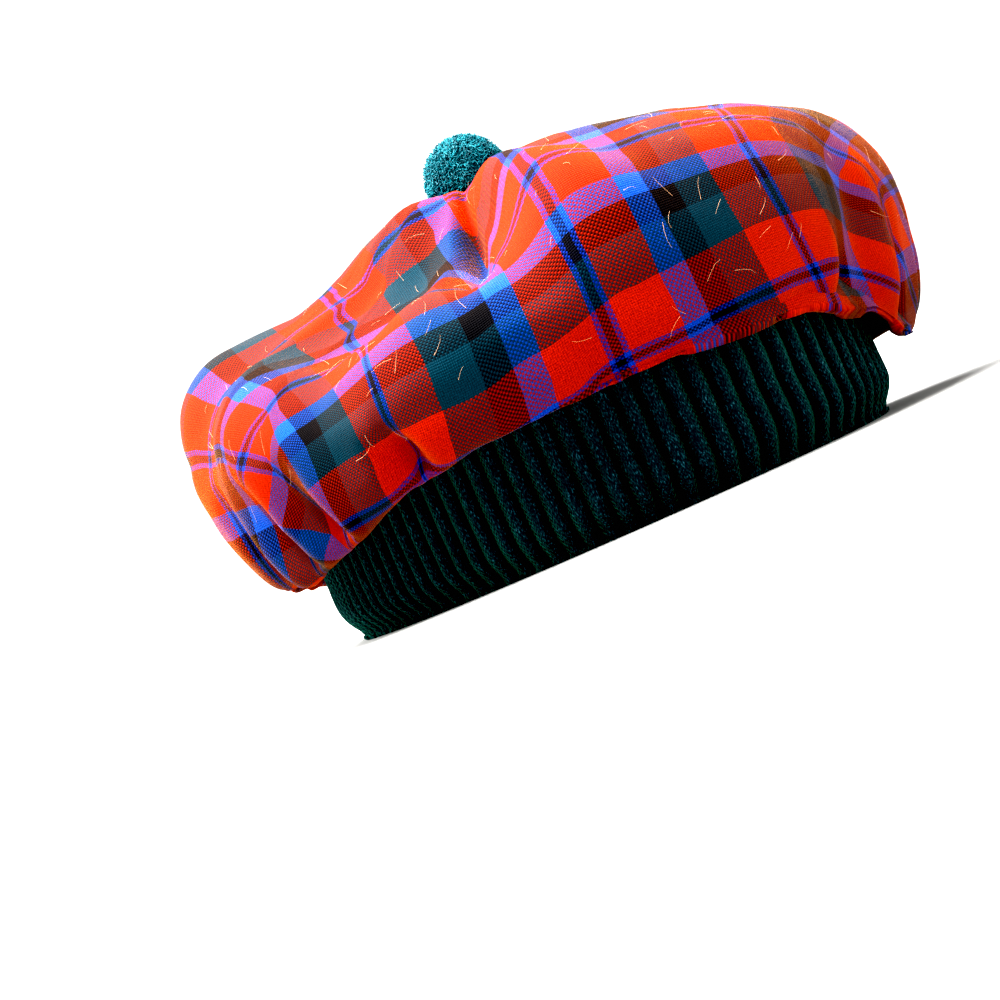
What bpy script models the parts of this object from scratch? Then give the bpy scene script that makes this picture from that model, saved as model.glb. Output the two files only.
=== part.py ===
"""A tartan tam o shanter: a pleated wool crown on a ribbed knit band, with a wool pompom.

Metres, +Z up. The hat stands on the band's lower rim, and its front faces -Y.
Bearings are degrees round the hat seen from above: 0 at the front (-Y), 90 at +X.
"""
import math

import bmesh
import bpy

MM = 0.001

# Driving sizes, in metres
BAND_LENGTH = 196 * MM
BAND_WIDTH = 162 * MM
BAND_HEIGHT = 46 * MM
BAND_WALL = 3.2 * MM
RIB_PITCH = 6.5 * MM
RIB_DEPTH = 1.6 * MM
CROWN_REACH = 119 * MM
PUFF_HEIGHT = 60 * MM
CORNER_DROOP = 21 * MM
CLOTH_WALL = 1.6 * MM
FOLD_DEPTH = 10 * MM
POMPOM_DIAMETER = 28 * MM
LOCK_LENGTH = 2.6 * MM
GAP = 0.3 * MM

CROWN_COLUMNS = 108
FOLD_START_REACH = 0.45
LOCK_TAPER = 0.55
BAND_BULGE = 4.5 * MM

# Sections of the crown from its centre out to the seam on the band. Reach is a share of the
# crown's outline and seam a share of the band's, rise is a share of PUFF_HEIGHT above the
# band, sag says how far the section follows a low shoulder, droop how far a low corner.
SECTIONS = (
    # reach, seam, rise, sag, droop
    (0.000, 0.00, 0.965, 0.00, 0.00),
    (0.070, 0.00, 0.975, 0.00, 0.00),
    (0.160, 0.00, 1.130, 0.00, 0.00),
    (0.300, 0.00, 1.150, 0.42, 0.00),
    (0.450, 0.00, 1.100, 0.85, 0.00),
    (0.600, 0.00, 1.035, 0.95, 0.00),
    (0.730, 0.00, 0.955, 0.88, 0.00),
    (0.840, 0.00, 0.860, 0.70, 0.00),
    (0.920, 0.00, 0.735, 0.58, 0.00),
    (0.975, 0.00, 0.560, 0.42, 0.05),
    (1.000, 0.00, 0.355, 0.25, 0.15),
    (0.990, 0.00, 0.160, 0.10, 0.40),
    (0.965, 0.00, 0.020, 0.00, 0.70),
    (0.925, 0.00, -0.070, 0.00, 0.94),
    (0.590, 0.385, -0.095, 0.00, 1.00),
    (0.310, 0.70, -0.045, 0.00, 0.60),
    (0.080, 0.95, 0.010, 0.00, 0.05),
    (0.000, 0.985, 0.000, 0.00, 0.00),
)

# The band from its lower rim up. Level is a share of BAND_HEIGHT, swell a share of BAND_BULGE,
# by which the rim is turned in.
BAND_LEVELS = (
    # level, swell
    (0.00, 0.0),
    (0.05, 0.0),
    (0.25, 1.0),
    (1.00, 1.0),
)

# The outline round the hat. Reach is a share of CROWN_REACH, sag a share of PUFF_HEIGHT that
# the shoulder lies low, droop a share of CORNER_DROOP that the hem hangs at a gathered corner.
OUTLINE = (
    # bearing, reach, sag, droop
    (-180, 0.960, 0.12, 0.60),
    (-156, 0.970, 0.15, 0.90),
    (-125, 0.960, 0.16, 0.70),
    (-104, 0.965, 0.27, 0.85),
    (-90, 0.970, 0.38, 0.65),
    (-70, 0.950, 0.45, 0.20),
    (-55, 0.945, 0.36, 0.05),
    (-43, 0.940, 0.12, 0.00),
    (-27, 0.950, -0.03, 0.00),
    (0, 0.970, -0.05, 0.10),
    (16, 0.985, -0.02, 0.50),
    (28, 0.990, 0.04, 1.00),
    (55, 1.000, 0.07, 0.85),
    (85, 0.985, 0.07, 1.00),
    (110, 0.955, 0.07, 0.30),
    (140, 0.940, 0.09, 0.00),
    (165, 0.945, 0.12, 0.20),
)

# Folds, pleats and darts. Each runs from a section to a section, turning from one bearing to
# the other. Half is its half width in degrees, depth a share of FOLD_DEPTH, minus for a ridge.
FOLDS = (
    # from section, to section, bearing at its start, bearing at its end, half, depth
    (1.0, 10.0, -48, -41, 13, 1.00),
    (1.2, 8.5, -50, -46, 6, 0.60),
    (0.8, 3.8, -98, -98, 40, -0.60),
    (4.8, 9.4, -130, -130, 26, -0.65),
    (2.5, 10.5, -30, -22, 12, -0.40),
    (3.0, 11.0, -64, -56, 12, -0.20),
    (4.0, 12.0, -84, -76, 11, 0.40),
    (4.0, 12.0, -102, -94, 11, -0.25),
    (4.0, 12.0, -120, -110, 12, 0.40),
    (10.5, 14.0, -69, -68, 6, 0.55),
    (8.0, 13.6, 23, 12, 8, 0.55),
    (10.5, 13.6, 33, 30, 8, 0.20),
    (10.0, 14.0, -90, -88, 6, 0.40),
    (10.0, 14.0, -101, -98, 6, 0.45),
    (10.0, 14.0, -113, -109, 6, 0.40),
    (10.5, 14.0, -35, -34, 6, 0.25),
    (10.0, 14.0, -152, -154, 7, 0.50),
    (8.5, 14.0, -171, -172, 7, 0.35),
    (2.0, 10.5, 175, 170, 13, 0.45),
    (10.0, 14.0, 86, 88, 7, 0.50),
    (8.5, 14.0, 103, 105, 7, 0.45),
    (2.5, 10.5, 75, 70, 13, 0.45),
    (10.5, 14.0, 140, 141, 6, 0.25),
    (3.0, 10.5, 128, 122, 14, 0.35),
    (3.0, 11.0, -146, -140, 14, 0.30),
    (10.5, 14.0, 55, 56, 6, 0.30),
)


def clear_scene():
    for old in list(bpy.data.objects):
        bpy.data.objects.remove(old, do_unlink=True)


def turn_between(a, b):
    """The signed angle from bearing b to bearing a, from -180 to 180."""
    return (a - b + 180) % 360 - 180


def smooth_step(x):
    x = min(max(x, 0.0), 1.0)
    return x * x * (3 - 2 * x)


def outline_at(bearing):
    """Reach, sag and droop at a bearing, eased between the rows of OUTLINE."""
    count = len(OUTLINE)
    for i in range(count):
        here, after = OUTLINE[i], OUTLINE[(i + 1) % count]
        span = (after[0] - here[0]) % 360
        along = (bearing - here[0]) % 360
        if along < span:
            share = smooth_step(along / span)
            return [a + (b - a) * share for a, b in zip(here[1:], after[1:])]
    return list(OUTLINE[0][1:])


def section_at(place):
    """The columns of SECTIONS at a place between rows, on a smooth curve through them."""
    last = len(SECTIONS) - 1
    i = min(int(place), last - 1)
    t = place - i
    before, here = SECTIONS[max(i - 1, 0)], SECTIONS[i]
    after, later = SECTIONS[i + 1], SECTIONS[min(i + 2, last)]
    row = []
    for a, b, c, d in zip(before, here, after, later):
        curve = (2 * a - 5 * b + 4 * c - d) * t * t + (3 * b - a - 3 * c + d) * t ** 3
        row.append(b + 0.5 * ((c - a) * t + curve))
    return row


def band_radius(bearing, swell):
    """The band's outside at a bearing, on an oval longer from front to back."""
    turn = math.radians(bearing)
    across = math.sin(turn) / (BAND_WIDTH / 2 + BAND_WALL)
    along = math.cos(turn) / (BAND_LENGTH / 2 + BAND_WALL)
    return 1 / math.hypot(across, along) - BAND_BULGE * (1 - swell)


def crown_profile(bearing, place):
    """Radius and height of the crown's outside before its folds are made."""
    reach, seam, rise, sag, droop = section_at(place)
    out, low, hang = outline_at(bearing)
    radius = reach * CROWN_REACH * out + seam * band_radius(bearing, BAND_LEVELS[-1][1])
    height = BAND_HEIGHT + GAP + PUFF_HEIGHT * (rise - sag * low)
    return radius, height - CORNER_DROOP * droop * hang


def fold_depth(bearing, place):
    """How far the folds push the cloth in at this place."""
    total = 0.0
    if place < len(SECTIONS) / 2:
        fade = smooth_step(section_at(place)[0] / FOLD_START_REACH)
    else:
        fade = 1.0
    for start, end, bearing_start, bearing_end, half, depth in FOLDS:
        share = (place - start) / (end - start)
        if share <= 0 or share >= 1:
            continue
        middle = bearing_start + turn_between(bearing_end, bearing_start) * share
        aside = abs(turn_between(bearing, middle)) / half
        if aside < 1:
            total += depth * math.sin(math.pi * share) * math.cos(math.pi / 2 * aside) ** 2
    return total * fade * FOLD_DEPTH


def crown_point(bearing, place):
    """A point on the crown's outside, with its folds, in metres."""
    radius, height = crown_profile(bearing, place)
    step = 0.05
    last = len(SECTIONS) - 1
    inner = crown_profile(bearing, max(place - step, 0))
    outer = crown_profile(bearing, min(place + step, last))
    run, drop = outer[0] - inner[0], outer[1] - inner[1]
    length = math.hypot(run, drop) or 1.0
    push = fold_depth(bearing, place)
    radius += drop / length * push
    height -= run / length * push
    turn = math.radians(bearing)
    return radius * math.sin(turn), -radius * math.cos(turn), height


def make_material(name, colour, roughness):
    """A matt wool, with its colour in linear light."""
    material = bpy.data.materials.new(name)
    material.use_nodes = True
    shader = material.node_tree.nodes["Principled BSDF"]
    shader.inputs["Base Color"].default_value = (*colour, 1)
    shader.inputs["Roughness"].default_value = roughness
    shader.inputs["Metallic"].default_value = 0
    return material


def sheet_from_grid(columns, rows, point):
    """A sheet of columns round the hat and rows down it, closed into a ring."""
    mesh = bmesh.new()
    bmesh.ops.create_grid(mesh, x_segments=columns, y_segments=rows, size=1)
    for vert in mesh.verts:
        bearing = (vert.co.x + 1) / 2 * 360
        vert.co = point(bearing, (vert.co.y + 1) / 2)
    bmesh.ops.remove_doubles(mesh, verts=mesh.verts, dist=0.01 * MM)
    bmesh.ops.recalc_face_normals(mesh, faces=mesh.faces)
    return mesh


def add_object(name, mesh, material, collection, parent):
    data = bpy.data.meshes.new(name)
    mesh.to_mesh(data)
    mesh.free()
    data.materials.append(material)
    data.shade_smooth()
    item = bpy.data.objects.new(name, data)
    collection.objects.link(item)
    item.parent = parent
    return item


def add_wall(item, thickness):
    """Thickens an open sheet inward, away from the side its faces look to."""
    wall = item.modifiers.new("wall", "SOLIDIFY")
    wall.thickness = thickness
    wall.offset = -1
    wall.use_rim = True


def face_out(mesh):
    """Turns the faces of a sheet so that they look away from the hat's hollow."""
    widest = max(mesh.faces, key=lambda face: face.calc_center_median().xy.length)
    if widest.normal.xy.dot(widest.calc_center_median().xy) < 0:
        bmesh.ops.reverse_faces(mesh, faces=mesh.faces)


def make_crown(collection, parent):
    last = len(SECTIONS) - 1
    mesh = sheet_from_grid(CROWN_COLUMNS, last, lambda bearing, share: crown_point(bearing, share * last))
    face_out(mesh)
    material = make_material("tartan_wool", (0.55, 0.02, 0.02), 0.9)
    item = add_object("crown", mesh, material, collection, parent)
    add_wall(item, CLOTH_WALL)
    return item


def band_rib_count():
    """Whole ribs round the band's outer oval."""
    half_long = BAND_LENGTH / 2 + BAND_WALL
    half_wide = BAND_WIDTH / 2 + BAND_WALL
    return round(math.pi * (half_long + half_wide) / RIB_PITCH)


def band_point(bearing, share, ribs):
    """A point on the ribbed outside, at a row of BAND_LEVELS."""
    level, swell = BAND_LEVELS[round(share * (len(BAND_LEVELS) - 1))]
    radius = band_radius(bearing, swell)
    if round(bearing / 360 * ribs * 2) % 2 == 1:
        radius -= RIB_DEPTH
    turn = math.radians(bearing)
    return radius * math.sin(turn), -radius * math.cos(turn), BAND_HEIGHT * level


def make_headband(collection, parent):
    ribs = band_rib_count()
    rows = len(BAND_LEVELS) - 1
    mesh = sheet_from_grid(ribs * 2, rows, lambda bearing, share: band_point(bearing, share, ribs))
    face_out(mesh)
    material = make_material("rib_knit_wool", (0.004, 0.016, 0.016), 0.95)
    item = add_object("headband", mesh, material, collection, parent)
    add_wall(item, BAND_WALL)
    return item


def make_pompom(collection, parent):
    """A ball whose faces are drawn out into short locks, with grooves between them."""
    radius = POMPOM_DIAMETER / 2
    mesh = bmesh.new()
    bmesh.ops.create_icosphere(mesh, subdivisions=2, radius=radius - LOCK_LENGTH)
    drawn = bmesh.ops.extrude_discrete_faces(mesh, faces=mesh.faces)
    for face in drawn["faces"]:
        middle = face.calc_center_median()
        out = middle.normalized() * LOCK_LENGTH
        for vert in face.verts:
            vert.co = middle + (vert.co - middle) * LOCK_TAPER + out
    bmesh.ops.recalc_face_normals(mesh, faces=mesh.faces)
    low = min(vert.co.z for vert in mesh.verts)
    seat = crown_point(0, 0)[2] + GAP
    bmesh.ops.translate(mesh, verts=mesh.verts, vec=(0, 0, seat - low))
    material = make_material("teal_wool", (0.002, 0.27, 0.30), 0.95)
    return add_object("pompom", mesh, material, collection, parent)


def outline_middle():
    """The middle of the crown's bounding box, seen from above."""
    last = len(SECTIONS) - 1
    points = [
        crown_point(column * 360 / CROWN_COLUMNS, section)
        for column in range(CROWN_COLUMNS)
        for section in range(last + 1)
    ]
    east = [point[0] for point in points]
    north = [point[1] for point in points]
    return (max(east) + min(east)) / 2, (max(north) + min(north)) / 2


clear_scene()
tam = bpy.data.collections.new("tam_o_shanter")
bpy.context.scene.collection.children.link(tam)
hat = bpy.data.objects.new("hat", None)
tam.objects.link(hat)
middle_x, middle_y = outline_middle()
hat.location = (-middle_x, -middle_y, 0)
make_crown(tam, hat)
make_headband(tam, hat)
make_pompom(tam, hat)
bpy.context.view_layer.update()
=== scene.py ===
import math
import random

import bmesh
import bpy
from mathutils import Matrix, Vector, noise


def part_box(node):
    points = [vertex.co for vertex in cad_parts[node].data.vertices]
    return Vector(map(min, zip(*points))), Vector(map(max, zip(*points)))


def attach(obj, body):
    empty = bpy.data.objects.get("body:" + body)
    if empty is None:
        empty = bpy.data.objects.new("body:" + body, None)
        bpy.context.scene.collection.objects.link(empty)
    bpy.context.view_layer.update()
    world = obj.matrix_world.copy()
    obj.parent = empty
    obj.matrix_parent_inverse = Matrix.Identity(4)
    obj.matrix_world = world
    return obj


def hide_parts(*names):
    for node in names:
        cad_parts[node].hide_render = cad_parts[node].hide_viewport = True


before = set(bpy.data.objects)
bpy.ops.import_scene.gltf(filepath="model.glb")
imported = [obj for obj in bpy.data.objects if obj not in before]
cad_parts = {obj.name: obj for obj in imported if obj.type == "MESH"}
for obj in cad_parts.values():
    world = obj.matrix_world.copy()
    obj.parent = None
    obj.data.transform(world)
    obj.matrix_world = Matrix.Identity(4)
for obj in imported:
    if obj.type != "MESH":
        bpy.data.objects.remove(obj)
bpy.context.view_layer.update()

# The crown is one piece of wool tartan, cut square with rounded corners. Its edge is pleated and
# darted down to the size of the band, which throws the corners into drooping lobes, and the full
# middle slumps into soft folds that start at the stitched centre.
MM = 0.001
band_low, band_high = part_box("headband")
AXIS = (band_low + band_high) / 2
BAND_HALF_WIDE = (band_high.x - band_low.x) / 2
BAND_HALF_LONG = (band_high.y - band_low.y) / 2
BAND_HEIGHT = band_high.z
BAND_BULGE = 4.5 * MM
CROWN_REACH = 119 * MM
PUFF_HEIGHT = 60 * MM
CORNER_DROOP = 21 * MM
CLOTH_WALL = 1.6 * MM
FOLD_DEPTH = 10 * MM
FOLD_START_REACH = 0.45
GAP = 0.3 * MM
CLOTH_COLUMNS = 384
CLOTH_ROWS = 108
SLOPE_STEP = 0.05
MERGE = 0.005 * MM
# The cloth was cut square: how square, and the run from its centre over which that sets in.
SQUARENESS = 5
CORNER_START = 60 * MM
CORNER_RISE = 90 * MM
FULLNESS_POWER = 1.2
# Small ripples. They fade out over a few sections at the centre and before the seam.
RIPPLE = 0.9 * MM
RIPPLES_PER_M = 38
FINE_RIPPLES_PER_M = 95
FINE_RIPPLE_SHARE = 0.45
RIPPLE_RISE = 3
RIPPLE_END = 16.5
RIPPLE_FALL = 2
# The crease of each pleat opens from one section and closes again before another.
CREASE_DEPTH = 4.2 * MM
CREASE_SPREAD = 1.8
CREASE_START = 9.5
CREASE_RISE = 3
CREASE_END = 14.4
CREASE_FALL = 1.8

# Sections of the crown from its centre out to the seam. Reach is a share of CROWN_REACH, seam of
# the band's radius, rise and sag of PUFF_HEIGHT, droop of CORNER_DROOP.
SECTIONS = (
    # reach, seam, rise, sag, droop
    (0.000, 0.00, 0.965, 0.00, 0.00),
    (0.070, 0.00, 0.975, 0.00, 0.00),
    (0.160, 0.00, 1.130, 0.00, 0.00),
    (0.300, 0.00, 1.150, 0.42, 0.00),
    (0.450, 0.00, 1.100, 0.85, 0.00),
    (0.600, 0.00, 1.035, 0.95, 0.00),
    (0.730, 0.00, 0.955, 0.88, 0.00),
    (0.840, 0.00, 0.860, 0.70, 0.00),
    (0.920, 0.00, 0.735, 0.58, 0.00),
    (0.975, 0.00, 0.560, 0.42, 0.05),
    (1.000, 0.00, 0.355, 0.25, 0.15),
    (0.990, 0.00, 0.160, 0.10, 0.40),
    (0.965, 0.00, 0.020, 0.00, 0.70),
    (0.925, 0.00, -0.070, 0.00, 0.94),
    (0.590, 0.385, -0.095, 0.00, 1.00),
    (0.310, 0.70, -0.045, 0.00, 0.60),
    (0.080, 0.95, 0.010, 0.00, 0.05),
    (0.000, 0.985, 0.000, 0.00, 0.00),
)
# Bearings are degrees round the hat seen from above: 0 at the front (-Y), 90 at +X.
OUTLINE = (
    # bearing, reach, sag, droop
    (-180, 0.960, 0.12, 0.60),
    (-156, 0.970, 0.15, 0.90),
    (-125, 0.960, 0.16, 0.70),
    (-104, 0.965, 0.27, 0.85),
    (-90, 0.970, 0.38, 0.65),
    (-70, 0.950, 0.45, 0.20),
    (-55, 0.945, 0.36, 0.05),
    (-43, 0.940, 0.12, 0.00),
    (-27, 0.950, -0.03, 0.00),
    (0, 0.970, -0.05, 0.10),
    (16, 0.985, -0.02, 0.50),
    (28, 0.990, 0.04, 1.00),
    (55, 1.000, 0.07, 0.85),
    (85, 0.985, 0.07, 1.00),
    (110, 0.955, 0.07, 0.30),
    (140, 0.940, 0.09, 0.00),
    (165, 0.945, 0.12, 0.20),
)
# Folds, pleats and darts. Half is the half width in degrees, depth a share of FOLD_DEPTH, minus
# for a ridge.
FOLDS = (
    # from section, to section, bearing at its start, bearing at its end, half, depth
    (1.0, 10.0, -48, -41, 13, 1.00),
    (1.2, 8.5, -50, -46, 6, 0.60),
    (0.8, 3.8, -98, -98, 40, -0.60),
    (4.8, 9.4, -130, -130, 26, -0.65),
    (2.5, 10.5, -30, -22, 12, -0.40),
    (3.0, 11.0, -64, -56, 12, -0.20),
    (4.0, 12.0, -84, -76, 11, 0.40),
    (4.0, 12.0, -102, -94, 11, -0.25),
    (4.0, 12.0, -120, -110, 12, 0.40),
    (10.5, 14.0, -69, -68, 6, 0.55),
    (8.0, 13.6, 23, 12, 8, 0.55),
    (10.5, 13.6, 33, 30, 8, 0.20),
    (10.0, 14.0, -90, -88, 6, 0.40),
    (10.0, 14.0, -101, -98, 6, 0.45),
    (10.0, 14.0, -113, -109, 6, 0.40),
    (10.5, 14.0, -35, -34, 6, 0.25),
    (10.0, 14.0, -152, -154, 7, 0.50),
    (8.5, 14.0, -171, -172, 7, 0.35),
    (2.0, 10.5, 175, 170, 13, 0.45),
    (10.0, 14.0, 86, 88, 7, 0.50),
    (8.5, 14.0, 103, 105, 7, 0.45),
    (2.5, 10.5, 75, 70, 13, 0.45),
    (10.5, 14.0, 140, 141, 6, 0.25),
    (3.0, 10.5, 128, 122, 14, 0.35),
    (3.0, 11.0, -146, -140, 14, 0.30),
    (10.5, 14.0, 55, 56, 6, 0.30),
)
# Pleats take up the cloth that the band has no room for. Share is of all that is taken up.
SIDE_BEARING = -36.5
PLEATS = (
    # bearing from the middle of the front right side, share, half width, depth of its crease
    (-169, 0.045, 1.5, 0.6),
    (-135, 0.080, 1.8, 1.0),
    (-119, 0.075, 1.8, 0.9),
    (-105, 0.030, 1.5, 0.5),
    (-76, 0.065, 1.6, 0.9),
    (-62, 0.080, 1.6, 1.0),
    (-51, 0.075, 1.6, 1.0),
    (-31.5, 0.025, 1.6, 1.1),
    (47, 0.040, 1.6, 1.0),
    (63, 0.100, 1.8, 1.2),
    (77, 0.055, 1.8, 0.8),
    (91, 0.040, 1.5, 0.5),
    (111, 0.060, 1.6, 0.8),
    (124, 0.100, 1.8, 1.1),
    (140, 0.075, 1.8, 1.0),
    (169, 0.055, 1.5, 0.7),
)


def smooth_step(x):
    x = min(max(x, 0.0), 1.0)
    return x * x * (3 - 2 * x)


def turn_between(a, b):
    return (a - b + 180) % 360 - 180


def outline_at(bearing):
    count = len(OUTLINE)
    for i in range(count):
        here, after = OUTLINE[i], OUTLINE[(i + 1) % count]
        span = (after[0] - here[0]) % 360
        along = (bearing - here[0]) % 360
        if along < span:
            share = smooth_step(along / span)
            return [a + (b - a) * share for a, b in zip(here[1:], after[1:])]
    return list(OUTLINE[0][1:])


def section_at(place):
    last = len(SECTIONS) - 1
    i = min(int(place), last - 1)
    t = place - i
    before, here = SECTIONS[max(i - 1, 0)], SECTIONS[i]
    after, later = SECTIONS[i + 1], SECTIONS[min(i + 2, last)]
    row = []
    for a, b, c, d in zip(before, here, after, later):
        curve = (2 * a - 5 * b + 4 * c - d) * t * t + (3 * b - a - 3 * c + d) * t ** 3
        row.append(b + 0.5 * ((c - a) * t + curve))
    return row


def band_radius(bearing, swell):
    turn = math.radians(bearing)
    oval = math.hypot(math.sin(turn) / BAND_HALF_WIDE, math.cos(turn) / BAND_HALF_LONG)
    return 1 / oval - BAND_BULGE * (1 - swell)


def crown_profile(around, place):
    reach, seam, rise, sag, droop = section_at(place)
    out, low, hang, band = around
    radius = reach * CROWN_REACH * out + seam * band
    height = BAND_HEIGHT + GAP + PUFF_HEIGHT * (rise - sag * low)
    return radius, height - CORNER_DROOP * droop * hang


def fold_push(bearing, place):
    total = 0.0
    for start, end, bearing_start, bearing_end, half, depth in FOLDS:
        share = (place - start) / (end - start)
        if 0 < share < 1:
            middle = bearing_start + turn_between(bearing_end, bearing_start) * share
            aside = abs(turn_between(bearing, middle)) / half
            if aside < 1:
                total += depth * math.sin(math.pi * share) * math.cos(math.pi / 2 * aside) ** 2
    if place < len(SECTIONS) / 2:
        total *= smooth_step(section_at(place)[0] / FOLD_START_REACH)
    return total * FOLD_DEPTH


def crease_push(bearing, place):
    """The sharp groove of each pleat, which opens towards the hem and leans to one side."""
    total = 0.0
    opening = smooth_step((place - CREASE_START) / CREASE_RISE)
    reach = opening * smooth_step((CREASE_END - place) / CREASE_FALL)
    if reach == 0:
        return 0.0
    for middle, share, half, depth in PLEATS:
        aside = turn_between(bearing - SIDE_BEARING, middle) / (half * CREASE_SPREAD)
        if -1 < aside < 1:
            total += depth * (1 - aside if aside > 0 else (1 + aside) ** 3)
    return total * reach * CREASE_DEPTH


def taken_up(turn):
    """Degrees of the flat cloth used up to this bearing, in steps at the pleats."""
    total = 0.0
    for middle, share, half, depth in PLEATS:
        here = smooth_step((turn - middle + half) / (2 * half))
        start = smooth_step((half - middle) / (2 * half))
        total += share * 360 * (here - start)
    return total


def flat_place(turn, radius, run):
    """Where a point of the crown lay on the cloth before it was sewn, in metres."""
    if run < 1e-6:
        return Vector((0, 0, 0))
    fullness = 1 - min(1, radius / run) ** FULLNESS_POWER
    angle = math.radians(turn + (taken_up(turn) - turn) * fullness)
    across, along = abs(math.sin(angle)), abs(math.cos(angle))
    corner = (along ** SQUARENESS + across ** SQUARENESS) ** (-1 / SQUARENESS)
    spread = 1 + (corner - 1) * smooth_step((run - CORNER_START) / CORNER_RISE)
    return Vector((math.sin(angle), -math.cos(angle), 0)) * run * spread


def face_out(mesh):
    """Turns the faces of an open sheet so that they look away from the hat's hollow."""
    bmesh.ops.remove_doubles(mesh, verts=mesh.verts, dist=MERGE)
    bmesh.ops.recalc_face_normals(mesh, faces=mesh.faces)
    widest = max(mesh.faces, key=lambda face: face.calc_center_median().xy.length)
    if widest.normal.xy.dot(widest.calc_center_median().xy) < 0:
        bmesh.ops.reverse_faces(mesh, faces=mesh.faces)


pleat_sum = sum(row[1] for row in PLEATS)
PLEATS = tuple((row[0], row[1] / pleat_sum, row[2], row[3]) for row in PLEATS)

cloth = bmesh.new()
bmesh.ops.create_grid(cloth, x_segments=CLOTH_COLUMNS, y_segments=CLOTH_ROWS, size=1)
flat_layer = cloth.verts.layers.float_vector.new("flat")
last_section = len(SECTIONS) - 1
strips = {}
for vert in cloth.verts:
    strips.setdefault(round((vert.co.x + 1) / 2 * CLOTH_COLUMNS), []).append(vert)
for column, strip in strips.items():
    turn = column * 360 / CLOTH_COLUMNS - 180
    bearing = turn + SIDE_BEARING
    around = (*outline_at(bearing), band_radius(bearing, 1.0))
    heading = Vector((math.sin(math.radians(bearing)), -math.cos(math.radians(bearing)), 0))
    strip.sort(key=lambda vert: vert.co.y)
    run = 0.0
    before = None
    for row, vert in enumerate(strip):
        place = row / CLOTH_ROWS * last_section
        radius, height = crown_profile(around, place)
        inner = crown_profile(around, max(place - SLOPE_STEP, 0))
        outer = crown_profile(around, min(place + SLOPE_STEP, last_section))
        slope = Vector((outer[0] - inner[0], outer[1] - inner[1])).normalized()
        if before:
            run += math.hypot(radius - before[0], height - before[1])
        before = (radius, height)
        push = fold_push(bearing, place) + crease_push(bearing, place)
        spot = heading * radius + Vector((0, 0, height))
        free = smooth_step(place / RIPPLE_RISE) * smooth_step((RIPPLE_END - place) / RIPPLE_FALL)
        fine = FINE_RIPPLE_SHARE * noise.noise(spot * FINE_RIPPLES_PER_M)
        push += RIPPLE * free * (noise.noise(spot * RIPPLES_PER_M) + fine)
        vert[flat_layer] = flat_place(turn, radius, run)
        vert.co = heading * (radius + slope.y * push) + Vector((0, 0, height - slope.x * push))
        vert.co += Vector((AXIS.x, AXIS.y, 0))
face_out(cloth)
uv_layer = cloth.loops.layers.uv.new("flat_cloth")
for face in cloth.faces:
    for loop in face.loops:
        loop[uv_layer].uv = loop.vert[flat_layer].xy


def add_piece(name, mesh):
    """Puts a finished bmesh in the scene, smooth shaded, at the origin."""
    data = bpy.data.meshes.new(name)
    mesh.to_mesh(data)
    mesh.free()
    data.shade_smooth()
    piece = bpy.data.objects.new(name, data)
    bpy.context.scene.collection.objects.link(piece)
    return piece


crown = add_piece("tartan_crown", cloth)
wall = crown.modifiers.new("cloth_wall", "SOLIDIFY")
wall.thickness = CLOTH_WALL
wall.offset = -1


def linear(hex_colour):
    """An sRGB hex colour in linear light, with alpha."""
    parts = [int(hex_colour[i:i + 2], 16) / 255 for i in (1, 3, 5)]
    return (*[c / 12.92 if c <= 0.04045 else ((c + 0.055) / 1.055) ** 2.4 for c in parts], 1)


def new_material(name):
    material = bpy.data.materials.new(name)
    material.use_nodes = True
    return material, material.node_tree, material.node_tree.nodes["Principled BSDF"]


def add_node(tree, kind, settings=None, inputs=None):
    """Adds a node. Inputs are numbers or the sockets that feed them, by name or place."""
    node = tree.nodes.new("ShaderNode" + kind)
    for key, value in (settings or {}).items():
        setattr(node, key, value)
    for key, value in (inputs or {}).items():
        if isinstance(value, bpy.types.NodeSocket):
            tree.links.new(value, node.inputs[key])
        else:
            node.inputs[key].default_value = value
    return node


# Worsted wool, dyed in the yarn and plain woven: every crossing shows the warp or the weft, so
# two colours that cross give a fine check, and one colour on itself looks solid. Matt and fuzzy.
# Sizes are in mm on the flat cloth: where one double line of each set lies, and the thread.
WARP_LINE = 9.0
WEFT_LINE = -94.0
THREAD = 0.72
WANDER = 1.2 * MM
WANDERS_PER_M = 90.0
HEATHER_PER_M = 1600.0
SETT = (
    # width in mm, colour of the stripe, from one double line to the other
    (1.3, "#060818"),
    (1.5, "#143A98"),
    (16.0, "#9E2202"),
    (8.4, "#164EA2"),
    (8.8, "#030409"),
    (14.0, "#06323E"),
    (16.2, "#9E2202"),
    (1.5, "#143A98"),
    (1.3, "#060818"),
)
HALF_SETT = sum(row[0] for row in SETT)

tartan, tree, shader = new_material("plain_woven_worsted_tartan")
uv = add_node(tree, "UVMap", {"uv_map": "flat_cloth"})
wobble = add_node(tree, "TexNoise", None, {"Vector": uv.outputs[0], "Scale": WANDERS_PER_M, "Detail": 1.0})
wander = add_node(tree, "VectorMath", {"operation": "MULTIPLY_ADD"},
                  {0: wobble.outputs["Color"], 1: (WANDER, WANDER, 0), 2: uv.outputs[0]})
in_mm = add_node(tree, "VectorMath", {"operation": "SCALE"}, {0: wander.outputs[0], "Scale": 1 / MM})
axes = add_node(tree, "SeparateXYZ", None, {0: in_mm.outputs[0]})


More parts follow.
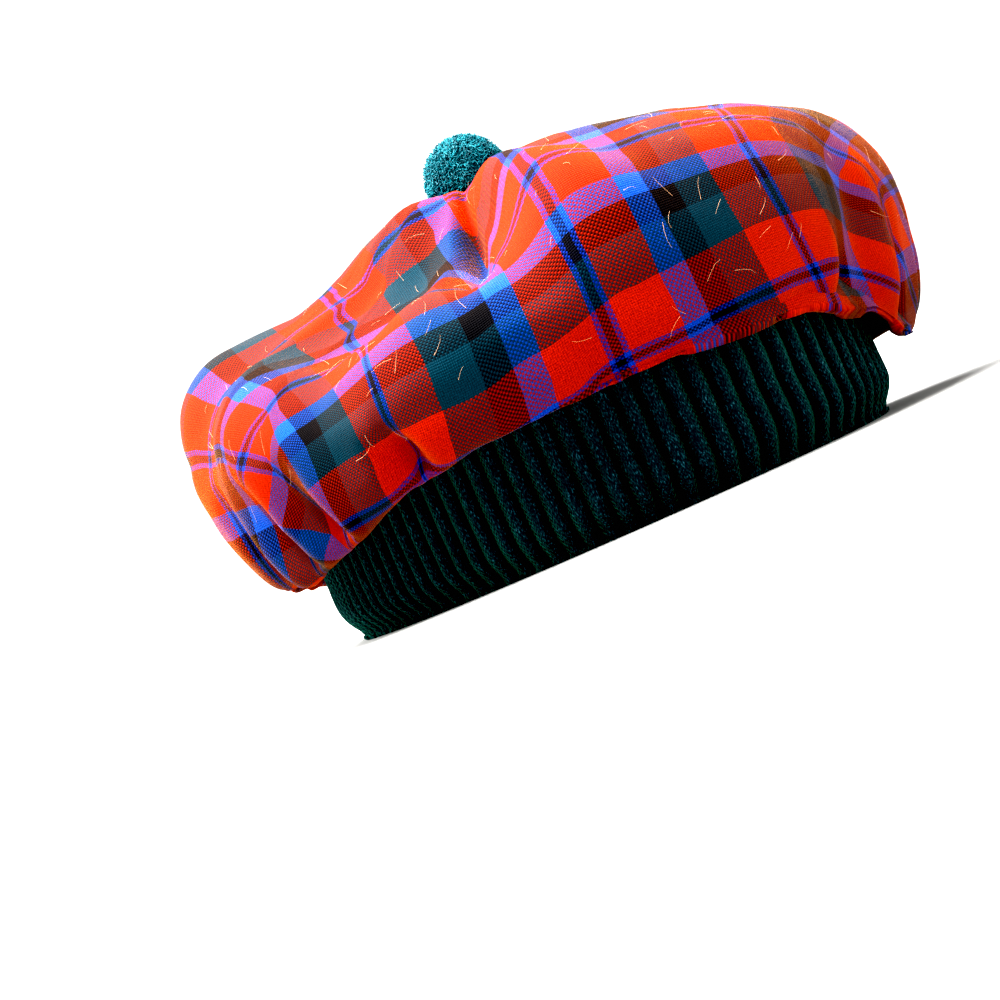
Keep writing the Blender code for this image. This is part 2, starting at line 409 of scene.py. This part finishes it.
def stripe_colour(along, line):
    """The sett's colour along one axis of the cloth, mirrored at both double lines."""
    shifted = add_node(tree, "Math", {"operation": "SUBTRACT"}, {0: along, 1: line})
    folded = add_node(tree, "Math", {"operation": "PINGPONG"}, {0: shifted.outputs[0], 1: HALF_SETT})
    share = add_node(tree, "Math", {"operation": "DIVIDE"}, {0: folded.outputs[0], 1: HALF_SETT})
    ramp = add_node(tree, "ValToRGB", None, {0: share.outputs[0]})
    ramp.color_ramp.interpolation = "CONSTANT"
    stops = ramp.color_ramp.elements
    start = 0.0
    for i, (width, colour) in enumerate(SETT):
        stop = stops[0] if i == 0 else stops.new(start / HALF_SETT)
        stop.color = linear(colour)
        start += width
    stops.remove(stops[-1])
    return ramp.outputs[0]


def thread_wave(along):
    phase = add_node(tree, "Math", {"operation": "MULTIPLY"}, {0: along, 1: math.pi / THREAD})
    return add_node(tree, "Math", {"operation": "SINE"}, {0: phase.outputs[0]}).outputs[0]


warp_wave, weft_wave = thread_wave(axes.outputs[0]), thread_wave(axes.outputs[1])
crossing = add_node(tree, "Math", {"operation": "MULTIPLY"}, {0: warp_wave, 1: weft_wave})
# Each thread lies over its neighbour in turn, with a soft edge where it dips under.
over = add_node(tree, "MapRange", None, {0: crossing.outputs[0], 1: -0.55, 2: 0.55, 3: 0.08, 4: 0.92})
warp, weft = stripe_colour(axes.outputs[0], WARP_LINE), stripe_colour(axes.outputs[1], WEFT_LINE)
woven = add_node(tree, "Mix", {"data_type": "RGBA"}, {0: over.outputs[0], 6: warp, 7: weft})
# Where unlike colours cross, the check is darkened: painted shade for the lower thread's shadow.
contrast = add_node(tree, "VectorMath", {"operation": "DISTANCE"}, {0: warp, 1: weft})
painted_crossing_shade = add_node(tree, "MapRange", None, {0: contrast.outputs["Value"], 1: 0.0, 2: 0.3, 3: 1.0, 4: 0.66})
# Painted shade: each thread is darkened towards its edges, where it dips under its neighbour.
pillow = add_node(tree, "Math", {"operation": "ABSOLUTE"}, {0: crossing.outputs[0]})
shade = add_node(tree, "MapRange", None, {0: pillow.outputs[0], 1: 0.0, 2: 0.5, 3: 0.62, 4: 1.0})
fibre = add_node(tree, "TexNoise", None, {"Vector": uv.outputs[0], "Scale": HEATHER_PER_M, "Detail": 2.0})
heather = add_node(tree, "MapRange", None, {0: fibre.outputs[0], 1: 0.3, 2: 0.75, 3: 0.72, 4: 1.3})
# Random heather tone of the fibres, times the painted shade where unlike colours cross.
heather_and_painted_shade = add_node(tree, "Math", {"operation": "MULTIPLY"}, {0: heather.outputs[0], 1: painted_crossing_shade.outputs[0]})
tone = add_node(tree, "Math", {"operation": "MULTIPLY"}, {0: shade.outputs[0], 1: heather_and_painted_shade.outputs[0]})
shaded = add_node(tree, "VectorMath", {"operation": "SCALE"}, {0: woven.outputs[2], "Scale": tone.outputs[0]})
tree.links.new(shaded.outputs[0], shader.inputs["Base Color"])
relief = add_node(tree, "Math", {"operation": "ADD"}, {0: pillow.outputs[0], 1: fibre.outputs[0]})
bump = add_node(tree, "Bump", None, {"Strength": 0.6, "Distance": 0.00025, "Height": relief.outputs[0]})
tree.links.new(bump.outputs[0], shader.inputs["Normal"])
shader.inputs["Roughness"].default_value = 0.88
shader.inputs["Specular IOR Level"].default_value = 0.12
shader.inputs["Sheen Weight"].default_value = 0.34
shader.inputs["Sheen Roughness"].default_value = 0.3
shader.inputs["Sheen Tint"].default_value = linear("#FFA03C")
crown.data.materials.append(tartan)
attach(crown, "root")
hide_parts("crown")

# The headband is rib knit wool, dark bottle green with lighter fibres in the yarn. Upright ribs
# run its whole height, it is sewn to the crown's hem, and its lower edge is a row of loops.
RIB_PITCH = 6.5 * MM
RIB_DEPTH = 2.0 * MM
CREST_ROUNDNESS = 0.55
BAND_WALL = 3.2 * MM
COLUMNS_PER_RIB = 8
BAND_ROWS = 28
UNEVEN = 0.5 * MM
UNEVEN_WAVES = 5
# The rim is turned in: level is a share of BAND_HEIGHT, swell of BAND_BULGE.
BAND_LEVELS = (
    # level, swell
    (0.00, 0.0),
    (0.05, 0.0),
    (0.25, 1.0),
    (1.00, 1.0),
)
RIBS = round(math.pi * (BAND_HALF_WIDE + BAND_HALF_LONG) / RIB_PITCH)


def swell_at(level):
    for (low, swell_low), (high, swell_high) in zip(BAND_LEVELS, BAND_LEVELS[1:]):
        if level <= high:
            return swell_low + (swell_high - swell_low) * math.sin(math.pi / 2 * (level - low) / (high - low))
    return BAND_LEVELS[-1][1]


def band_spot(bearing, level, depth):
    """A point on the knit, depth in from the rib's crest."""
    radius = band_radius(bearing, swell_at(level)) - depth
    turn = math.radians(bearing)
    return Vector((AXIS.x + radius * math.sin(turn), AXIS.y - radius * math.cos(turn), level * BAND_HEIGHT))


knit = bmesh.new()
columns = RIBS * COLUMNS_PER_RIB
bmesh.ops.create_grid(knit, x_segments=columns, y_segments=BAND_ROWS, size=1)
knit_layer = knit.verts.layers.float_vector.new("knit")
girth = math.pi * (BAND_HALF_WIDE + BAND_HALF_LONG)
for vert in knit.verts:
    share, level = (vert.co.x + 1) / 2, (vert.co.y + 1) / 2
    crest = 0.5 + 0.5 * math.cos(2 * math.pi * share * RIBS)
    settle = Vector((math.cos(2 * math.pi * share), math.sin(2 * math.pi * share), level)) * UNEVEN_WAVES
    depth = RIB_DEPTH * (1 - crest ** CREST_ROUNDNESS) + UNEVEN * (noise.noise(settle) + 0.5)
    vert[knit_layer] = (share * girth, level * BAND_HEIGHT, 0)
    vert.co = band_spot(share * 360, level, depth)
uv_layer = knit.loops.layers.uv.new("knit_mm")
for face in knit.faces:
    for loop in face.loops:
        loop[uv_layer].uv = loop.vert[knit_layer].xy
face_out(knit)
headband = add_piece("ribbed_headband", knit)
wall = headband.modifiers.new("knit_wall", "SOLIDIFY")
wall.thickness = BAND_WALL
wall.offset = -1

# Knit wool: rows of small V stitches in each rib, almost black, with teal hairs in the yarn. The
# valleys between the ribs are darkened with painted shade. Stitches and valleys are in mm.
WALE = 1.6
COURSE = 1.7
STITCH_LEAN = 1.3
VALLEY_SHADE_START = 1.1
VALLEY_SHADE_END = 3.0
HAIRS_PER_M = 2600.0
rib_knit, tree, shader = new_material("rib_knit_bottle_green_wool")
uv = add_node(tree, "UVMap", {"uv_map": "knit_mm"})
in_mm = add_node(tree, "VectorMath", {"operation": "SCALE"}, {0: uv.outputs[0], "Scale": 1 / MM})
axes = add_node(tree, "SeparateXYZ", None, {0: in_mm.outputs[0]})
half_wale = add_node(tree, "Math", {"operation": "PINGPONG"}, {0: axes.outputs[0], 1: WALE / 2})
lean = add_node(tree, "Math", {"operation": "MULTIPLY_ADD"},
                {0: half_wale.outputs[0], 1: STITCH_LEAN, 2: axes.outputs[1]})
phase = add_node(tree, "Math", {"operation": "MULTIPLY"}, {0: lean.outputs[0], 1: 2 * math.pi / COURSE})
stitch = add_node(tree, "Math", {"operation": "SINE"}, {0: phase.outputs[0]})
coords = add_node(tree, "TexCoord")
stretched = add_node(tree, "Mapping", None, {0: coords.outputs["Object"], "Scale": (1.0, 1.0, 0.4)})
speck = add_node(tree, "TexNoise", None,
                 {"Vector": stretched.outputs[0], "Scale": HAIRS_PER_M, "Detail": 2.0})
hairs = add_node(tree, "ValToRGB", None, {0: speck.outputs[0]})
hairs.color_ramp.elements[0].position = 0.46
hairs.color_ramp.elements[0].color = linear("#171C25")
hairs.color_ramp.elements[1].position = 0.74
hairs.color_ramp.elements[1].color = linear("#3E6A76")
middle = hairs.color_ramp.elements.new(0.6)
middle.color = linear("#1C3238")
# Painted shade: the colour darkens from each rib's crest down into the valley beside it.
from_crest = add_node(tree, "Math", {"operation": "PINGPONG"}, {0: axes.outputs[0], 1: girth / RIBS / MM / 2})
valley_painted_shade = add_node(tree, "MapRange", {"interpolation_type": "SMOOTHSTEP"},
                  {0: from_crest.outputs[0], 1: VALLEY_SHADE_START, 2: VALLEY_SHADE_END, 3: 1.0, 4: 0.12})
knit_colour_with_painted_shade = add_node(tree, "VectorMath", {"operation": "SCALE"},
                     {0: hairs.outputs[0], "Scale": valley_painted_shade.outputs[0]})
tree.links.new(knit_colour_with_painted_shade.outputs[0], shader.inputs["Base Color"])
relief = add_node(tree, "Math", {"operation": "MULTIPLY_ADD"},
                  {0: stitch.outputs[0], 1: 0.35, 2: speck.outputs[0]})
bump = add_node(tree, "Bump", None, {"Strength": 0.8, "Distance": 0.0005, "Height": relief.outputs[0]})
tree.links.new(bump.outputs[0], shader.inputs["Normal"])
shader.inputs["Roughness"].default_value = 0.95
shader.inputs["Specular IOR Level"].default_value = 0.15
shader.inputs["Sheen Weight"].default_value = 0.5
shader.inputs["Sheen Roughness"].default_value = 0.4
shader.inputs["Sheen Tint"].default_value = linear("#2FA882")
headband.data.materials.append(rib_knit)
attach(headband, "root")
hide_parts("headband")


def add_strands(name, paths, thickness):
    """Makes many short yarns or hairs, each a thin tapered tube along its own few points."""
    curve = bpy.data.curves.new(name, "CURVE")
    curve.dimensions = "3D"
    curve.bevel_depth = thickness / 2
    curve.bevel_resolution = 0
    curve.use_fill_caps = True
    for path in paths:
        spline = curve.splines.new("POLY")
        spline.points.add(len(path) - 1)
        for i, (point, spot) in enumerate(zip(spline.points, path)):
            point.co = (*spot, 1)
            point.radius = 1 - 0.6 * i / (len(path) - 1)
    shell = bpy.data.objects.new(name, curve)
    bpy.context.scene.collection.objects.link(shell)
    graph = bpy.context.evaluated_depsgraph_get()
    data = bpy.data.meshes.new_from_object(shell.evaluated_get(graph))
    bpy.data.objects.remove(shell)
    data.name = name
    data.shade_smooth()
    piece = bpy.data.objects.new(name, data)
    bpy.context.scene.collection.objects.link(piece)
    return piece


# The loops of the cast-off edge and the hairs of the same yarn stand out from the knit. A hair is
# drawn thicker than a real one of about 0.03 mm, so that it shows.
LOOPS_PER_RIB = 3
LOOP_STEPS = 5
LOOP_SEAT = 1.4 * MM
LOOP_REACH = 0.98 * MM
LOOP_YARN = 0.75 * MM
BAND_HAIRS = 2600
HAIR_THICKNESS = 0.07 * MM
HAIR_FLOOR = 0.2 * MM
random.seed(11)
loop_pitch = 360 / (RIBS * LOOPS_PER_RIB)
edge_loops = []
for i in range(RIBS * LOOPS_PER_RIB):
    bearing = (i + random.uniform(-0.2, 0.2)) * loop_pitch
    half_turn = random.uniform(0.35, 0.5) * loop_pitch
    depth = random.uniform(-0.2, 1.6) * MM
    loop = []
    for step in range(LOOP_STEPS + 1):
        swing = math.pi * step / LOOP_STEPS
        spot = band_spot(bearing + half_turn * math.cos(swing), 0.0, depth)
        spot.z = LOOP_SEAT - math.sin(swing) * LOOP_REACH
        loop.append(spot)
    edge_loops.append(loop)
rim_loops = add_strands("band_edge_loops", edge_loops, LOOP_YARN)
band_hairs = []
for i in range(BAND_HAIRS):
    bearing, level = random.uniform(0, 360), random.uniform(0.02, 0.98)
    root = band_spot(bearing, level, 0.3 * MM)
    tip = band_spot(bearing + random.uniform(-0.8, 0.8), level, -random.uniform(0.3, 1.3) * MM)
    tip.z += random.uniform(-1.6, 1.6) * MM
    tip.z = max(tip.z, HAIR_FLOOR)
    bow = (root + tip) / 2 + Vector((0, 0, random.uniform(-0.4, 0.4) * MM))
    bow.z = max(bow.z, HAIR_FLOOR)
    band_hairs.append([root, bow, tip])
hairs_piece = add_strands("band_hairs", band_hairs, HAIR_THICKNESS)
for piece in (rim_loops, hairs_piece):
    piece.data.materials.append(rib_knit)
    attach(piece, "root")

# Pale loose fibres lie on the face of the tartan, as on any worn wool cloth. They are undyed wool,
# which looks like fine light scratches, and are held by nothing but the nap. They are drawn 0.1 mm
# thick, a few times the real thickness, so that they show.
FIBRES = 420
FIBRE_THICKNESS = 0.1 * MM
random.seed(31)
fibre_paths = []
outer_face = [vert for vert in crown.data.vertices if vert.co.z > BAND_HEIGHT]
for i in range(FIBRES):
    root = random.choice(outer_face)
    normal = Vector(root.normal)
    heading = normal.cross(Vector([random.gauss(0, 1) for axis in range(3)])).normalized()
    bend = normal.cross(heading) * random.uniform(-0.4, 0.4)
    length = random.uniform(3, 8) * MM
    fibre_paths.append([
        root.co + normal * 0.2 * MM,
        root.co + heading * length * 0.4 + bend * length * 0.1 + normal * 0.7 * MM,
        root.co + heading * length * 0.75 + bend * length * 0.4 + normal * 0.9 * MM,
        root.co + heading * length + bend * length + normal * random.uniform(0.3, 1.2) * MM,
    ])
crown_fibres = add_strands("crown_fibres", fibre_paths, FIBRE_THICKNESS)
pale_fibre, tree, shader = new_material("undyed_wool_fibre")
shader.inputs["Base Color"].default_value = linear("#C89A74")
shader.inputs["Roughness"].default_value = 0.7
crown_fibres.data.materials.append(pale_fibre)
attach(crown_fibres, "root")

# The pompom is a ball of teal wool: many yarn ends tied at the middle, trimmed round and brushed,
# then sewn to the centre of the crown.
pom_low, pom_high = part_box("pompom")
POM_CENTRE = (pom_low + pom_high) / 2
POM_RADIUS = (pom_high.x - pom_low.x) / 2
LOCKS = 5200
LOCK_THICKNESS = 0.7 * MM
LOCK_ROOT = 0.70
CORE_REACH = 0.86
CORE_LUMP = 0.05
LUMPS_PER_M = 400
LEAN = 0.14
SWIRL = 0.3
SWIRLS = 2.3
random.seed(23)
core = bmesh.new()
bmesh.ops.create_icosphere(core, subdivisions=4, radius=POM_RADIUS * CORE_REACH)
for vert in core.verts:
    vert.co *= 1 + CORE_LUMP * noise.noise(vert.co * LUMPS_PER_M)
bmesh.ops.translate(core, verts=core.verts, vec=POM_CENTRE)
pom_core = add_piece("pompom_core", core)
paths = []
golden = math.pi * (3 - math.sqrt(5))
for i in range(LOCKS):
    rise = 1 - 2 * (i + 0.5) / LOCKS
    flat = math.sqrt(1 - rise * rise)
    out = Vector((flat * math.cos(golden * i), flat * math.sin(golden * i), rise))
    lean = Vector([random.gauss(0, 1) for axis in range(3)]) * LEAN
    eddy = out * SWIRLS
    swirl = Vector((noise.noise(eddy), noise.noise(eddy + Vector((9, 0, 0))),
                    noise.noise(eddy + Vector((0, 9, 0))))) * SWIRL
    length = random.uniform(0.94, 1.03)
    path = [POM_CENTRE + out * POM_RADIUS * LOCK_ROOT]
    for bend, reach in ((0.25, CORE_REACH), (0.6, 0.95), (0.9, length)):
        path.append(POM_CENTRE + (out + (lean + swirl) * bend).normalized() * POM_RADIUS * reach)
    paths.append(path)
pom_locks = add_strands("pompom_locks", paths, LOCK_THICKNESS)

# Brushed woollen yarn, dyed teal: soft and matt, darker where the dye took deeper.
TUFTS_PER_M = 420.0
YARN_HAIRS_PER_M = 3000.0
teal_wool, tree, shader = new_material("brushed_teal_wool_yarn")
coords = add_node(tree, "TexCoord")
tuft = add_node(tree, "TexNoise", None,
                {"Vector": coords.outputs["Object"], "Scale": TUFTS_PER_M, "Detail": 3.0})
dye = add_node(tree, "ValToRGB", None, {0: tuft.outputs[0]})
dye.color_ramp.elements[0].position = 0.35
dye.color_ramp.elements[0].color = linear("#08525C")
dye.color_ramp.elements[1].position = 0.7
dye.color_ramp.elements[1].color = linear("#0D828C")
tree.links.new(dye.outputs[0], shader.inputs["Base Color"])
hair = add_node(tree, "TexNoise", None,
                {"Vector": coords.outputs["Object"], "Scale": YARN_HAIRS_PER_M, "Detail": 2.0})
bump = add_node(tree, "Bump", None, {"Strength": 0.5, "Distance": 0.0003, "Height": hair.outputs[0]})
tree.links.new(bump.outputs[0], shader.inputs["Normal"])
shader.inputs["Roughness"].default_value = 0.95
shader.inputs["Specular IOR Level"].default_value = 0.2
shader.inputs["Sheen Weight"].default_value = 0.2
for piece in (pom_core, pom_locks):
    piece.data.materials.append(teal_wool)
    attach(piece, "root")
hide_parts("pompom")

# The photograph's side of the hat: the camera looks at the wearer's right front from just above
# the floor, and is rolled, so the level hat stands at the slant that it has in the picture.
IMAGE_WIDTH = 1000
PX_PER_M = 3250.0
CAMERA_BEARING = -40.0
CAMERA_RISE = 0.3
CAMERA_ROLL = 24.0
DISTANCE = 1.05
AIM_RIGHT = -31.5 * MM
AIM_UP = 23.0 * MM
turn, lift = math.radians(CAMERA_BEARING), math.radians(CAMERA_RISE)
towards = Vector((math.sin(turn) * math.cos(lift), -math.cos(turn) * math.cos(lift), math.sin(lift)))
right = Vector((math.cos(turn), math.sin(turn), 0))
up = towards.cross(right)
lens = bpy.data.cameras.new("camera")
lens.lens = lens.sensor_width * DISTANCE * PX_PER_M / IMAGE_WIDTH
camera = bpy.data.objects.new("camera", lens)
bpy.context.scene.collection.objects.link(camera)
aim = right * AIM_RIGHT + up * AIM_UP
facing = Matrix((right, up, towards)).transposed().to_4x4()
camera.matrix_world = Matrix.Translation(aim + towards * DISTANCE) @ facing @ Matrix.Rotation(
    math.radians(-CAMERA_ROLL), 4, "Z")
bpy.context.scene.camera = camera

# Plain studio: a flat pale floor, bright soft surroundings, a wide and strong high light from above
# on the left that burns out the top of the crown, and a weak one from the right. The photograph
# has strong contrast and crushed blacks, which the look and the black level answer.
FLOOR_REACH = 6.0
FLOOR_SIDES = 96
HIGH_STRENGTH = 22.0
HIGH_SPREAD = 60
SIDE_STRENGTH = 1.6
SIDE_SPREAD = 30
BLACK_LEVEL = 0.022
ground = bmesh.new()
bmesh.ops.create_circle(ground, cap_ends=True, segments=FLOOR_SIDES, radius=FLOOR_REACH)
floor = add_piece("floor", ground)
pale, tree, shader = new_material("pale_studio_paper")
shader.inputs["Base Color"].default_value = linear("#949492")
shader.inputs["Roughness"].default_value = 1.0
shader.inputs["Specular IOR Level"].default_value = 0.0
floor.data.materials.append(pale)
world = bpy.data.worlds.new("studio")
bpy.context.scene.world = world
world.use_nodes = True
world.node_tree.nodes["Background"].inputs[0].default_value = (1, 1, 1, 1)
world.node_tree.nodes["Background"].inputs[1].default_value = 1.0


def add_sun(name, source, strength, spread):
    """Adds a distant light that shines from source, spread over so many degrees of sky."""
    lamp = bpy.data.lights.new(name, "SUN")
    lamp.energy = strength
    lamp.angle = math.radians(spread)
    item = bpy.data.objects.new(name, lamp)
    item.matrix_world = Vector(source).to_track_quat("Z", "Y").to_matrix().to_4x4()
    bpy.context.scene.collection.objects.link(item)


add_sun("high_light", -towards * 0.05 - right * 0.42 + Vector((0, 0, 1)), HIGH_STRENGTH, HIGH_SPREAD)
add_sun("side_light", right + Vector((0, 0, 0.25)), SIDE_STRENGTH, SIDE_SPREAD)
view = bpy.context.scene.view_settings
view.view_transform = "Standard"
view.look = "High Contrast"
view.use_curve_mapping = True
view.curve_mapping.black_level = (BLACK_LEVEL, BLACK_LEVEL, BLACK_LEVEL)
view.curve_mapping.update()
